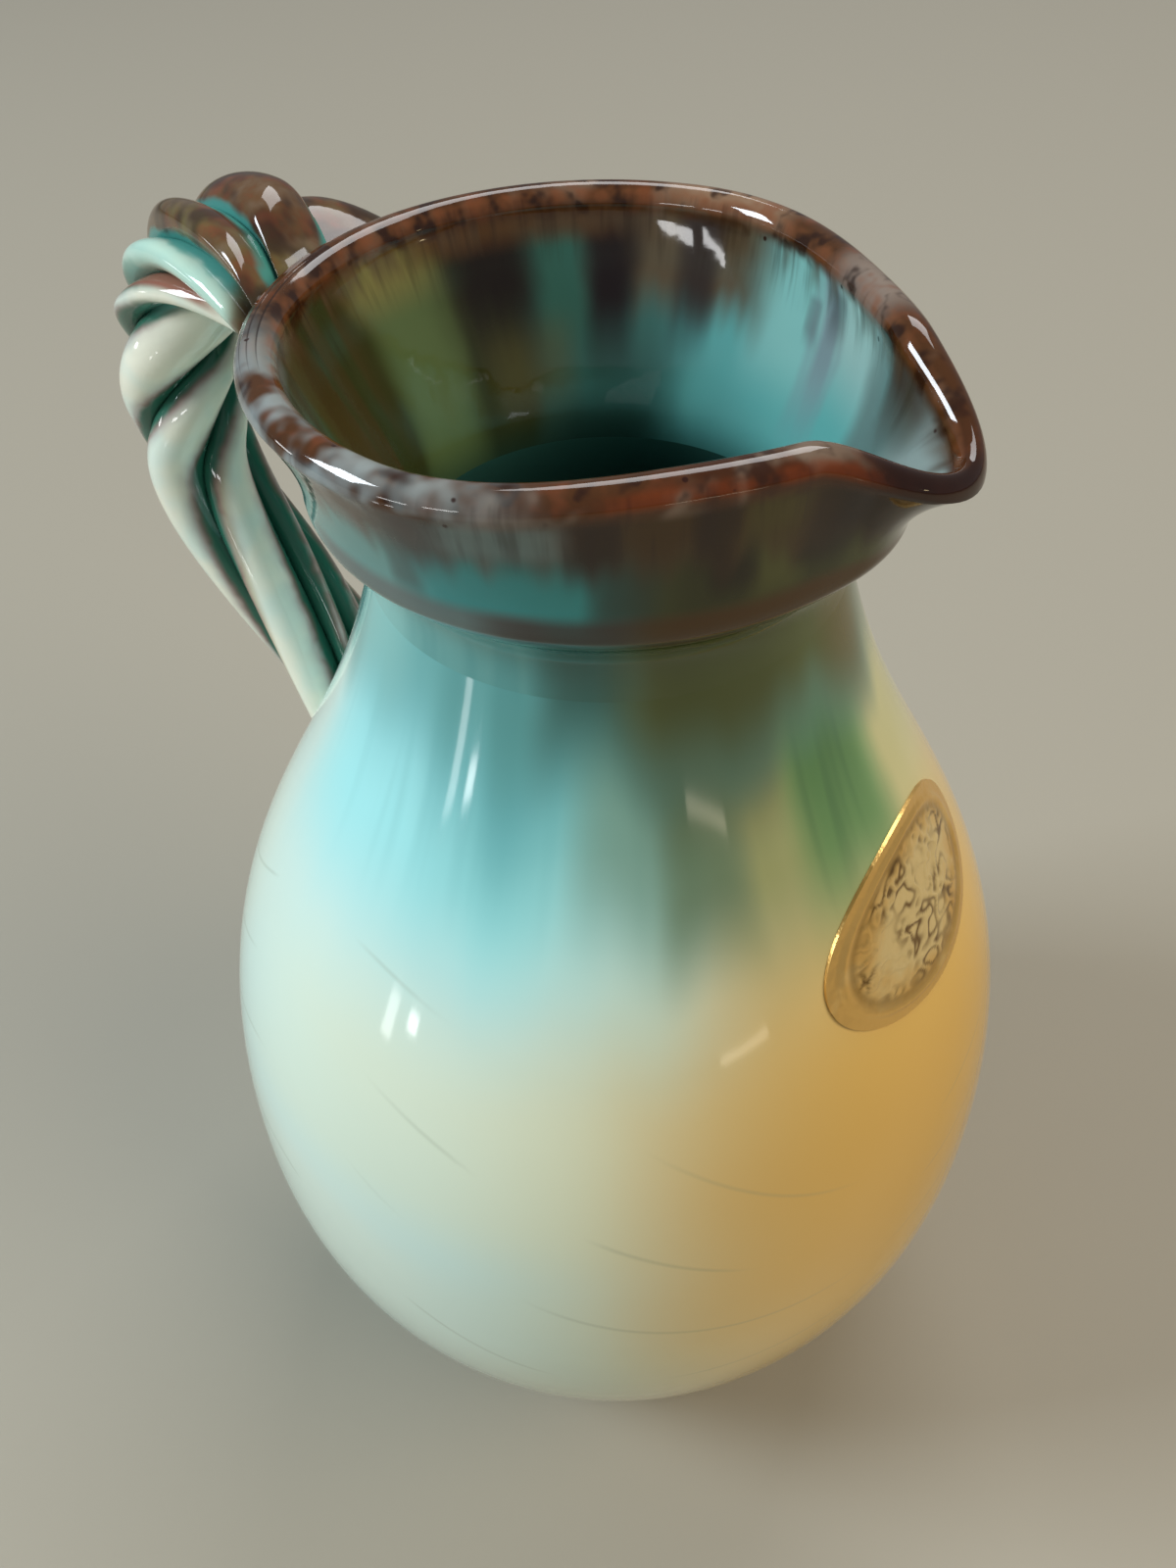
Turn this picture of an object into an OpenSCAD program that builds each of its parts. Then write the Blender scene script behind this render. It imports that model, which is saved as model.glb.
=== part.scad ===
// Small glazed earthenware jug with a flared collar, a pinched spout and a rope-twist handle.
// Lengths are millimetres. The origin is the middle of the base, +Z is up, the spout points
// along +X and the handle stands on the -X side.

/* [Belly] */
// Outer radius of the belly at its widest
belly_r = 42; // [36:0.5:50]
// Height of the widest place above the base
belly_z = 40; // [32:0.5:50]
// Radius of the flat base
base_r = 26; // [20:0.5:31]
// Height of the seam where the collar is luted to the shoulder
seam_z = 105.5; // [95:0.5:120]
// Outer radius of the neck at that seam
seam_r = 20; // [17:0.5:23]
// Thickness of the thrown walls
wall = 3; // [2:0.1:4]
// Thickness of the floor
floor_t = 4; // [2.5:0.1:7]

/* [Collar] */
// Height of the collar from the seam to the top of the lip
collar_h = 20; // [17:0.5:26]
// Outer radius of the rim away from the spout
rim_r = 26.4; // [24:0.1:30]
// How far the rim sits back towards the handle
rim_setback = 1; // [0:0.1:2.5]
// Thickness of the rounded lip
lip_d = 3.2; // [2.4:0.1:4]
// Outer radius of the collar's rounded lower edge, which overhangs the neck
knuckle_r = 23.9; // [22.5:0.1:26]
// Height of that lower edge above the seam
knuckle_h = 9; // [6.5:0.1:10]

/* [Spout] */
// How far the spout runs out beyond the rim
spout_reach = 4.3; // [2:0.1:8]
// How far the tip of the spout dips below the rim
spout_dip = 4.5; // [0:0.1:6]
// Half of the angle that the spout takes of the rim, in degrees
spout_half_angle = 27; // [20:1:38]
// How far the rim is drawn in beside the spout
pinch_depth = 2.7; // [0:0.1:4]
// Angle from the spout to the middle of each pinch, in degrees
pinch_angle = 48; // [40:1:56]
// Half of the angle that each pinch takes, in degrees
pinch_half_angle = 52; // [36:1:60]

/* [Handle] */
// Width of the handle over the crests of its coils
handle_d = 11.4; // [9:0.1:13]
// Depth of the grooves between the coils
groove_depth = 1.7; // [0.8:0.1:2.4]
// Reach of the handle's middle line beyond the rim
handle_reach = 19.8; // [17:0.1:26]
// Depth below the rim at which the handle reaches farthest out
handle_reach_drop = 21; // [17:0.5:26]
// Depth of the handle's upper end below the rim
handle_top_drop = 4.5; // [4:0.5:6]
// How far the handle's upper end sits to one side
handle_aside = 1.5; // [-2:0.1:2.5]
// Depth of the handle's lower end below the seam
handle_low_drop = 27.5; // [22:0.5:34]
// Turns of the twist from end to end
twist_turns = 1.28; // [0.8:0.02:1.6]

/* [Label] */
// Length of the oval foil label
label_l = 27.5; // [16:0.5:32]
// Width of the oval foil label
label_w = 15.5; // [8:0.5:18]
// Thickness of the label
label_t = 0.3; // [0.2:0.05:0.6]
// Depth of the label's middle below the seam
label_drop = 27; // [22:0.5:40]
// Turn of the label's middle from the spout round the axis, in degrees
label_turn = -3; // [-40:1:40]
// Lean of the label's long side from level, in degrees
label_lean = 5; // [-45:1:45]

/* [Hidden] */

$fn = 128;
full_turn = 360;
half_turn = 180;
quarter_turn = 90;

// Belly: curve handles as shares of the height and of the radius that each half spans
base_pull_shares = [0.62, 0.25];
belly_low_pull_share = 0.4;
belly_high_pull_share = 0.52;
shoulder_pull_shares = [0.34, 0.43];
belly_steps = 18;

// Collar: curve handles, as shares of the overhang, the flare and the height that each curve spans
rim_z = seam_z + collar_h;
lip_r = lip_d / 2;
lip_z = rim_z - lip_r;
knuckle_z = seam_z + knuckle_h;
waist_pull_shares = [-0.41, 0.72];
knuckle_pull_shares = [0, 0.33];
side_low_pull_shares = [-0.04, 0.25];
side_high_pull_shares = [0.8, 0.42];
throat_high_pull_shares = [0.26, 0.38];
throat_low_pull_shares = [0, 0.27];
waist_steps = 6;
wall_steps = 6;
throat_steps = 8;
lip_steps = 6;
collar_sections = 96;
section_angle = full_turn / collar_sections;
// Powers by which the pull of the spout and its dip grow from the seam to the rim
pull_power = 2.8;
dip_power = 2.6;
// The wall is pinched thinner by this share at the tip of the spout
spout_thin_share = 0.3;

// Handle: the coils are rolled unevenly, and each takes its own share of the turn at either end
coil_top_shares = [0.46, 0.135, 0.14, 0.11, 0.155];
coil_low_shares = [0.13, 0.095, 0.085, 0.29, 0.4];
slip_gap = 0.12;
seat_gap = 0.25;
crest_r = handle_d / 2;
groove_r = crest_r - groove_depth;
core_share = 0.16;
crest_power = 0.7;
coil_rings = 44;
crest_steps = 8;
twist_start = 6;
// This share of the twist is even, and the rest is gathered between two places where the handle bends
twist_even_share = 0.7;
gather_shares = [0.154, 0.61];
// The handle is pressed wide and flat on the rim and a little wider on the shoulder
root_wide_share = 0.95;
root_flat_share = 0.5;
foot_wide_share = 0.1;
spread_length_share = 0.32;
flat_length_share = 0.1;
aside_length_share = 0.7;
// Length at each end over which the coils bend to lie on the wall, in handle widths
seat_blend_share = 1.8;
seat_halvings = 24;
handle_low_z = seam_z - handle_low_drop;
handle_top_z = rim_z - handle_top_drop;
reach_x = rim_r + handle_reach;
reach_z = rim_z - handle_reach_drop;
// Curve handles of the middle line, as shares of the reach and of the drop to the farthest place
root_pull_shares = [0.32, 0.2];
crown_pull_share = 1.32;
side_pull_share = 0.32;
foot_pull_shares = [0.4, 0.39];

// Label
label_z = seam_z - label_drop;
label_seat_gap = 0.06;
label_rings = 5;
label_spokes = 40;

// Curves
function bezier(p, t) = pow(1 - t, 3) * p[0] + 3 * t * pow(1 - t, 2) * p[1]
    + 3 * pow(t, 2) * (1 - t) * p[2] + pow(t, 3) * p[3];
function bezier_slope(p, t) =
    pow(1 - t, 2) * (p[1] - p[0]) + 2 * t * (1 - t) * (p[2] - p[1]) + pow(t, 2) * (p[3] - p[2]);
function unit(v) = v / norm(v);
function bump(u) = abs(u) < 1 ? pow(cos(quarter_turn * u), 2) : 0;

// Outline of the belly, in radius and height, from the base to the seam
low_half = [
    [base_r, 0],
    [base_r + base_pull_shares[0] * (belly_r - base_r), base_pull_shares[1] * belly_z],
    [belly_r, (1 - belly_low_pull_share) * belly_z],
    [belly_r, belly_z]
];
high_half = [
    [belly_r, belly_z],
    [belly_r, belly_z + belly_high_pull_share * (seam_z - belly_z)],
    [seam_r + shoulder_pull_shares[0] * (belly_r - seam_r),
     seam_z - shoulder_pull_shares[1] * (seam_z - belly_z)],
    [seam_r, seam_z]
];
function inward(p, t) = let (d = unit(bezier_slope(p, t))) [-d[1], d[0]];
belly_shares = [for (i = [0:belly_steps]) i / belly_steps];
belly_outline = concat(
    [for (t = belly_shares) bezier(low_half, t)],
    [for (t = belly_shares) if (t > 0) bezier(high_half, t)]
);
belly_lining = concat(
    [for (t = belly_shares) bezier(low_half, t) + wall * inward(low_half, t)],
    [for (t = belly_shares) if (t > 0) bezier(high_half, t) + wall * inward(high_half, t)]
);
function reversed(v) = [for (i = [len(v) - 1:-1:0]) v[i]];
belly_table = [for (p = belly_outline) [p[1], p[0]]];
function belly_radius(z) = lookup(z, belly_table);

// Plan of the rim: how far each direction is pulled out or in, and how far it dips
function beak(a) = bump(a / spout_half_angle);
function pinch(a) = bump((a - pinch_angle) / pinch_half_angle) + bump((a + pinch_angle) / pinch_half_angle);
function rim_pull(a) = spout_reach * beak(a) - pinch_depth * pinch(a) - rim_setback * cos(a);

// Section of the collar away from the spout, in radius and height
overhang = knuckle_r - seam_r;
flare = rim_r - knuckle_r;
flare_h = lip_z - knuckle_z;
waist = [
    [seam_r, seam_z],
    [seam_r + waist_pull_shares[0] * overhang, seam_z + waist_pull_shares[1] * knuckle_h],
    [knuckle_r + knuckle_pull_shares[0] * overhang, knuckle_z - knuckle_pull_shares[1] * knuckle_h],
    [knuckle_r, knuckle_z]
];
side = [
    [knuckle_r, knuckle_z],
    [knuckle_r + side_low_pull_shares[0] * flare, knuckle_z + side_low_pull_shares[1] * flare_h],
    [rim_r - side_high_pull_shares[0] * flare, lip_z - side_high_pull_shares[1] * flare_h],
    [rim_r, lip_z]
];
collar_outline = concat(
    [for (i = [0:waist_steps]) bezier(waist, i / waist_steps)],
    [for (i = [1:wall_steps]) bezier(side, i / wall_steps)]
);
throat_r = seam_r - wall;
mouth_r = rim_r - lip_d;
mouth_flare = mouth_r - throat_r;
throat_side = [
    [mouth_r, lip_z],
    [mouth_r - throat_high_pull_shares[0] * mouth_flare, lip_z - throat_high_pull_shares[1] * collar_h],
    [throat_r + throat_low_pull_shares[0] * mouth_flare, seam_z + throat_low_pull_shares[1] * collar_h],
    [throat_r, seam_z]
];
collar_loop = concat(
    collar_outline,
    [for (i = [1:lip_steps - 1]) let (a = half_turn * i / lip_steps)
        [rim_r - lip_r + lip_r * cos(a), lip_z + lip_r * sin(a)]],
    [for (i = [0:throat_steps]) bezier(throat_side, i / throat_steps)]
);
neck_middle_r = seam_r - wall / 2;
lip_middle_r = rim_r - lip_r;
function height_share(z) = min(1, (z - seam_z) / (lip_z - seam_z));
function pull_share(z) = pow(height_share(z), pull_power);
function dip_share(z) = pow(height_share(z), dip_power);
function wall_middle(z) = neck_middle_r + height_share(z) * (lip_middle_r - neck_middle_r);
function plan_point(a, z) = (wall_middle(z) + pull_share(z) * rim_pull(a)) * [cos(a), sin(a)];
function plan_normal(a, z) = let (
        d = unit(plan_point(a + section_angle, z) - plan_point(a - section_angle, z))
    ) [d[1], -d[0]];
function collar_point(a, p) = let (
        z = p[1],
        thinning = 1 - spout_thin_share * beak(a) * pull_share(z),
        plan = plan_point(a, z) + thinning * (p[0] - wall_middle(z)) * plan_normal(a, z)
    ) [plan[0], plan[1], z - dip_share(z) * spout_dip * beak(a)];

// Outer face at the back, where the handle sits: the collar above its lower edge, carried straight
// up past the lip and straight down past that edge, and the belly below the seam. The collar's flare
// is taken a little early, by up to the lip's radius, so that the coils clear the bulge of the lip
collar_table = [for (i = [0:wall_steps]) let (p = bezier(side, i / wall_steps))
    [p[1] - lip_r * i / wall_steps, p[0] + pull_share(p[1]) * rim_setback]];
function jug_radius(z) = z > seam_z ? lookup(z, collar_table) : belly_radius(z);

// Middle line of the handle in the XZ plane, from the collar out, over and down to the shoulder
handle_top = [-jug_radius(handle_top_z), handle_top_z];
handle_side = [-reach_x, reach_z];
handle_low = [-belly_radius(handle_low_z), handle_low_z];
top_span = [handle_side[0] - handle_top[0], handle_top[1] - handle_side[1]];
low_span = [handle_low[0] - handle_side[0], handle_side[1] - handle_low[1]];
crown = [
    handle_top,
    handle_top + [root_pull_shares[0] * top_span[0], root_pull_shares[1] * top_span[1]],
    handle_side + [0, crown_pull_share * top_span[1]],
    handle_side
];
foot = [
    handle_side,
    handle_side - [0, side_pull_share * low_span[1]],
    handle_low + [-foot_pull_shares[0] * low_span[0], foot_pull_shares[1] * low_span[1]],
    handle_low
];
function curve_point(t) = t < 1 ? bezier(crown, t) : bezier(foot, t - 1);
function curve_slope(t) = unit(t < 1 ? bezier_slope(crown, t) : bezier_slope(foot, t - 1));
// Length along the middle line, so that the twist and the rings are spaced by length
length_steps = 80;
length_table = [for (i = 0, l = 0; i <= length_steps;
    l = l + norm(curve_point(2 * (i + 1) / length_steps) - curve_point(2 * i / length_steps)), i = i + 1)
    [l, 2 * i / length_steps]];
handle_l = length_table[length_steps][0];
function curve_place(s) = lookup(s * handle_l, length_table);
function spine(s) = curve_point(curve_place(s));
function spine_slope(s) = curve_slope(curve_place(s));

// Section of a coil as rows of place across it, from -1 at one groove to 1 at the other, and of radius
// from the handle's middle
core_r = core_share * crest_r;
function crest_shape(u) = groove_r + groove_depth * pow(cos(quarter_turn * u), crest_power);
flank_radii = [core_r, (core_r + groove_r) / 2];
flank_steps = len(flank_radii);
coil_section = concat(
    [for (r = flank_radii) [-1, r]],
    [for (i = [0:crest_steps]) let (u = 2 * i / crest_steps - 1) [u, crest_shape(u)]],
    [for (r = reversed(flank_radii)) [1, r]]
);
coil_sides = len(coil_section);
// The same section drawn in to half its size about the coil's middle, for the ends
end_section = [for (p = coil_section) [p[0] / 2, p[1] / 2 + (core_r + crest_r) / 4]];
// Angle that a coil takes, the angle of its first groove, and the angle of a place across it
function coil_angle(n, s) = full_turn * ((1 - s) * coil_top_shares[n] + s * coil_low_shares[n]);
function coil_start(n, s) = n > 0 ? coil_start(n - 1, s) + coil_angle(n - 1, s) : 0;
function across_angle(n, s, p) = let (half = coil_angle(n, s) / 2)
    coil_start(n, s) + half + p[0] * (half - asin(slip_gap / (2 * p[1])));

function root_share(s) = bump(s / spread_length_share);
function foot_share(s) = bump((1 - s) / spread_length_share);
function widening(s) = 1 + root_wide_share * root_share(s) + foot_wide_share * foot_share(s);
function flattening(s) = 1 - root_flat_share * bump(s / flat_length_share);
function aside(s) = handle_aside * bump(s / aside_length_share);
function eased(u) = let (c = max(0, min(1, u))) c * c * (3 - 2 * c);
function gathered(s) = eased((s - gather_shares[0]) / (gather_shares[1] - gather_shares[0]));
function twist(s) = twist_start
    + full_turn * twist_turns * (twist_even_share * s + (1 - twist_even_share) * gathered(s));
function coil_point(s, a, r) = let (
        p = spine(s),
        d = spine_slope(s),
        out = flattening(s) * r * cos(a + twist(s)) * [d[1], -d[0]]
    ) [p[0] + out[0], aside(s) + widening(s) * r * sin(a + twist(s)), p[1] + out[1]];

// Slide of a point along a direction until it lies on the wall of the jug
function off_wall(p) = norm([p[0], p[1]]) - jug_radius(p[2]) - seat_gap;
function slide(p, d, near, far, n) = let (middle = (near + far) / 2)
    n == 0 ? middle
    : off_wall(p + middle * d) > 0 ? slide(p, d, near, middle, n - 1) : slide(p, d, middle, far, n - 1);
function spine_direction(s) = let (d = spine_slope(s)) [d[0], 0, d[1]];
function seat_slide(s, a, r) = let (d = (s < 0.5 ? 1 : -1) * spine_direction(s))
    slide(coil_point(s, a, r), d, -handle_d, handle_d, seat_halvings) * (s < 0.5 ? 1 : -1);
function end_weight(s) = max(0, 1 - s * handle_l / (seat_blend_share * handle_d));
function seated_point(s, a, r, top_slide, low_slide) = coil_point(s, a, r)
    + (top_slide * end_weight(s) + low_slide * end_weight(1 - s)) * spine_direction(s);
function end_point(n, s, p) = let (a = across_angle(n, s, p))
    coil_point(s, a, p[1]) + seat_slide(s, a, p[1]) * spine_direction(s);

// Faces of a coil, which is closed at its two ends, and of a loft that closes on itself
function quad(a, b, c, d) = [[a, b, c], [a, c, d]];
// The first flank is split along its other diagonals, so that it lies along its neighbour's last one
function coil_faces(rings, sides) = concat(
    [for (j = [0:rings - 1], i = [0:sides - 1])
        let (k = (i + 1) % sides, near = j * sides, far = (j + 1) * sides)
        each i < flank_steps ? quad(near + i, far + i, far + k, near + k)
            : quad(far + i, far + k, near + k, near + i)],
    cap_faces(0, sides),
    [for (f = cap_faces(rings * sides, sides)) reversed(f)]
);
// An end is laced from flank to flank, so that it follows the curve of the wall that it lies on
function cap_faces(first, sides) = let (crest = (sides - 1) / 2, last = first + sides - 1) concat(
    [for (i = [0:crest - 2]) each quad(first + i, first + i + 1, last - i - 1, last - i)],
    [[first + crest - 1, first + crest, first + crest + 1]]
);
function ring_faces(sections, sides) = [for (j = [0:sections - 1], i = [0:sides - 1])
    let (k = (i + 1) % sides, next = (j + 1) % sections)
    each quad(j * sides + i, j * sides + k, next * sides + k, next * sides + i)];

module body() {
    color("honeydew")
    rotate_extrude()
    polygon(concat(
        [[0, 0]],
        belly_outline,
        [[throat_r, seam_z]],
        reversed([for (p = belly_lining) if (p[1] > floor_t && p[1] < seam_z) p]),
        [[0, floor_t]]
    ));
}

module collar() {
    color("cadetblue")
    polyhedron(
        [for (j = [0:collar_sections - 1], p = collar_loop) collar_point(j * section_angle - half_turn, p)],
        ring_faces(collar_sections, len(collar_loop))
    );
}

module handle_coil(number) {
    n = number - 1;
    top_slides = [for (p = coil_section) seat_slide(0, across_angle(n, 0, p), p[1])];
    low_slides = [for (p = coil_section) seat_slide(1, across_angle(n, 1, p), p[1])];
    color("mintcream")
    polyhedron(
        concat(
            [for (p = end_section) end_point(n, 0, p)],
            [for (j = [0:coil_rings], i = [0:coil_sides - 1])
                let (s = j / coil_rings, p = coil_section[i])
                seated_point(s, across_angle(n, s, p), p[1], top_slides[i], low_slides[i])],
            [for (p = end_section) end_point(n, 1, p)]
        ),
        coil_faces(coil_rings + 2, coil_sides)
    );
}

// Place on the shoulder of a point of the label, from its own length and width
label_slope = (belly_radius(label_z + label_w / 2) - belly_radius(label_z - label_w / 2)) / label_w;
function label_point(along, across, lift) = let (
        level = along * cos(label_lean) - across * sin(label_lean),
        z = label_z + (along * sin(label_lean) + across * cos(label_lean)) / norm([1, label_slope]),
        a = label_turn + level / belly_radius(label_z) * half_turn / PI,
        r = belly_radius(z) + label_seat_gap + lift
    ) [r * cos(a), r * sin(a), z];
function label_face(lift) = concat(
    [label_point(0, 0, lift)],
    [for (k = [1:label_rings], i = [0:label_spokes - 1]) let (a = full_turn * i / label_spokes)
        label_point(k / label_rings * label_l / 2 * cos(a), k / label_rings * label_w / 2 * sin(a), lift)]
);
label_count = 1 + label_rings * label_spokes;
function label_index(k, i) = 1 + (k - 1) * label_spokes + i % label_spokes;
label_front = concat(
    [for (i = [0:label_spokes - 1]) [0, label_index(1, i + 1), label_index(1, i)]],
    [for (k = [1:label_rings - 1], i = [0:label_spokes - 1])
        each quad(label_index(k, i), label_index(k, i + 1),
            label_index(k + 1, i + 1), label_index(k + 1, i))]
);
label_back = [for (f = label_front) [f[2] + label_count, f[1] + label_count, f[0] + label_count]];
label_edge = [for (i = [0:label_spokes - 1])
    let (a = label_index(label_rings, i), b = label_index(label_rings, i + 1))
    each quad(a, b, b + label_count, a + label_count)];

module foil_label() {
    color("goldenrod")
    polyhedron(
        concat(label_face(label_t), label_face(0)),
        concat(label_front, label_back, label_edge)
    );
}

body();
collar();
handle_coil(1);  // handle_coil_1
handle_coil(2);  // handle_coil_2
handle_coil(3);  // handle_coil_3
handle_coil(4);  // handle_coil_4
handle_coil(5);  // handle_coil_5
foil_label();
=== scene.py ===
import bpy
import math
from mathutils import Matrix, Vector, noise


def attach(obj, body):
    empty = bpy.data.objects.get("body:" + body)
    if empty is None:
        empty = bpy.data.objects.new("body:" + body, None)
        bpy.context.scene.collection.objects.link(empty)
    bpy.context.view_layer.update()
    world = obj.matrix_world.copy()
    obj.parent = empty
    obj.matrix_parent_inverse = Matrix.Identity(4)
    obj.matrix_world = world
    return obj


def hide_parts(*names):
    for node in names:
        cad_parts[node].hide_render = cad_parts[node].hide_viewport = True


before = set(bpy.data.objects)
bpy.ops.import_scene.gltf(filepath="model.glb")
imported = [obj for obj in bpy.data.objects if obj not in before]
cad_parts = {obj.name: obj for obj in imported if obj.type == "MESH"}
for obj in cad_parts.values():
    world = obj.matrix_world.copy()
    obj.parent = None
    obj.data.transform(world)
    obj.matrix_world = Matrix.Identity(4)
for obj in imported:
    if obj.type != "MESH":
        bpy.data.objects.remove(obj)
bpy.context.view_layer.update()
mm = 0.001  # sizes below are millimetres, Blender works in metres
print("frame loaded:", sorted(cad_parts))


# Camera, at the height and tilt from which the jug was looked at
viewSettings = {
    "place": (44.3, -80.6, 169.7),
    "right": (0.8736, 0.4863, -0.0195),
    "forward": (-0.3544, 0.6083, -0.7102),
    "lens": 30.24,  # on a 36 mm tall picture
    "pictureHeight": 36,
}
cameraData = bpy.data.cameras.new("photoView")
cameraData.sensor_fit = "VERTICAL"
cameraData.sensor_height = viewSettings["pictureHeight"]
cameraData.lens = viewSettings["lens"]
cameraData.clip_start = 1 * mm
photoView = bpy.data.objects.new("photoView", cameraData)
bpy.context.scene.collection.objects.link(photoView)
backward = -Vector(viewSettings["forward"]).normalized()
upward = backward.cross(Vector(viewSettings["right"])).normalized()
sideways = upward.cross(backward)
turned = Matrix((sideways, upward, backward)).transposed().to_4x4()
photoView.matrix_world = Matrix.Translation(Vector(viewSettings["place"]) * mm) @ turned
bpy.context.scene.camera = photoView
bpy.context.scene.view_settings.view_transform = "Standard"


# Curves that the potter's profiles follow
def bezier(points, share):
    a, b, c, d = (Vector(point) for point in points)
    rest = 1 - share
    return rest ** 3 * a + 3 * share * rest ** 2 * b + 3 * share ** 2 * rest * c + share ** 3 * d


def bezierSlope(points, share):
    a, b, c, d = (Vector(point) for point in points)
    rest = 1 - share
    return (rest ** 2 * (b - a) + 2 * share * rest * (c - b) + share ** 2 * (d - c)).normalized()


def curvePoints(points, steps):
    return [bezier(points, i / steps) for i in range(steps + 1)]


def swell(u):  # one smooth rise and fall between -1 and 1
    return math.cos(math.pi / 2 * u) ** 2 if abs(u) < 1 else 0


def clamp(value):
    return max(0.0, min(1.0, value))


def lookUp(rows, place):  # rows of (place, value) in rising order, straight between them
    if place <= rows[0][0]:
        return rows[0][1]
    for (nearPlace, nearValue), (farPlace, farValue) in zip(rows, rows[1:]):
        if place <= farPlace:
            return nearValue + (farValue - nearValue) * (place - nearPlace) / (farPlace - nearPlace)
    return rows[-1][1]


# Modelling steps that several pieces share
smoothAngle = math.radians(50)  # sharper edges than this stay crisp


def closeMesh(piece):  # merges seams and poles and turns all faces outwards
    bpy.ops.object.mode_set(mode="EDIT")
    bpy.ops.mesh.select_all(action="SELECT")
    bpy.ops.mesh.remove_doubles(threshold=0.001 * mm)
    bpy.ops.mesh.normals_make_consistent(inside=False)
    bpy.ops.object.mode_set(mode="OBJECT")


def throwOnWheel(name, outline, steps):  # an outline of radius and height, drawn by extrusion and spun
    bpy.ops.object.select_all(action="DESELECT")
    bpy.ops.mesh.primitive_plane_add(size=1 * mm)
    piece = bpy.context.object
    piece.name = piece.data.name = name
    bpy.ops.object.mode_set(mode="EDIT")
    bpy.ops.mesh.select_all(action="SELECT")
    bpy.ops.mesh.merge(type="CENTER")
    bpy.ops.transform.translate(value=(outline[0][0] * mm, 0, outline[0][1] * mm))
    for here, there in zip(outline, outline[1:]):
        step = ((there[0] - here[0]) * mm, 0, (there[1] - here[1]) * mm)
        bpy.ops.mesh.extrude_region_move(TRANSFORM_OT_translate={"value": step})
    bpy.ops.mesh.select_all(action="SELECT")
    bpy.ops.mesh.spin(steps=steps, angle=2 * math.pi, center=(0, 0, 0), axis=(0, 0, 1))
    bpy.ops.object.mode_set(mode="OBJECT")
    closeMesh(piece)
    return piece


def paintAttribute(piece, name, values):
    attribute = piece.data.attributes.new(name, "FLOAT", "POINT")
    attribute.data.foreach_set("value", values)


def finishPiece(piece, material, slot, *nodes):
    piece.data.materials.clear()
    piece.data.materials.append(material)
    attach(piece, "root")
    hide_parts(*nodes)


# Materials
def hexColour(text):
    parts = [int(text[i:i + 2], 16) / 255 for i in (1, 3, 5)]
    return [c / 12.92 if c <= 0.04045 else ((c + 0.055) / 1.055) ** 2.4 for c in parts] + [1]


def addNode(tree, kind, inputs=None, **settings):
    node = tree.nodes.new("ShaderNode" + kind)
    for name, value in settings.items():
        setattr(node, name, value)
    for key, value in (inputs or {}).items():
        if isinstance(value, bpy.types.NodeSocket):
            tree.links.new(value, node.inputs[key])
        else:
            node.inputs[key].default_value = value
    return node


def startMaterial(name):
    material = bpy.data.materials.new(name)
    material.use_nodes = True
    material.node_tree.nodes.clear()
    return material, material.node_tree


# A fired glaze: fields that vary over the surface, then coats of colour laid one over another. A coat is a
# colour, its strength, and where it lies: (field, none, full) or ("side", direction, reach, softness) in
# degrees round the jug's axis. Sizes of patches are millimetres
firing = {"rollRadius": 30, "swayDetail": 2.0, "patchRoughness": 0.55, "dotCore": 0.4, "waveStrength": 0.15}


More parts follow.
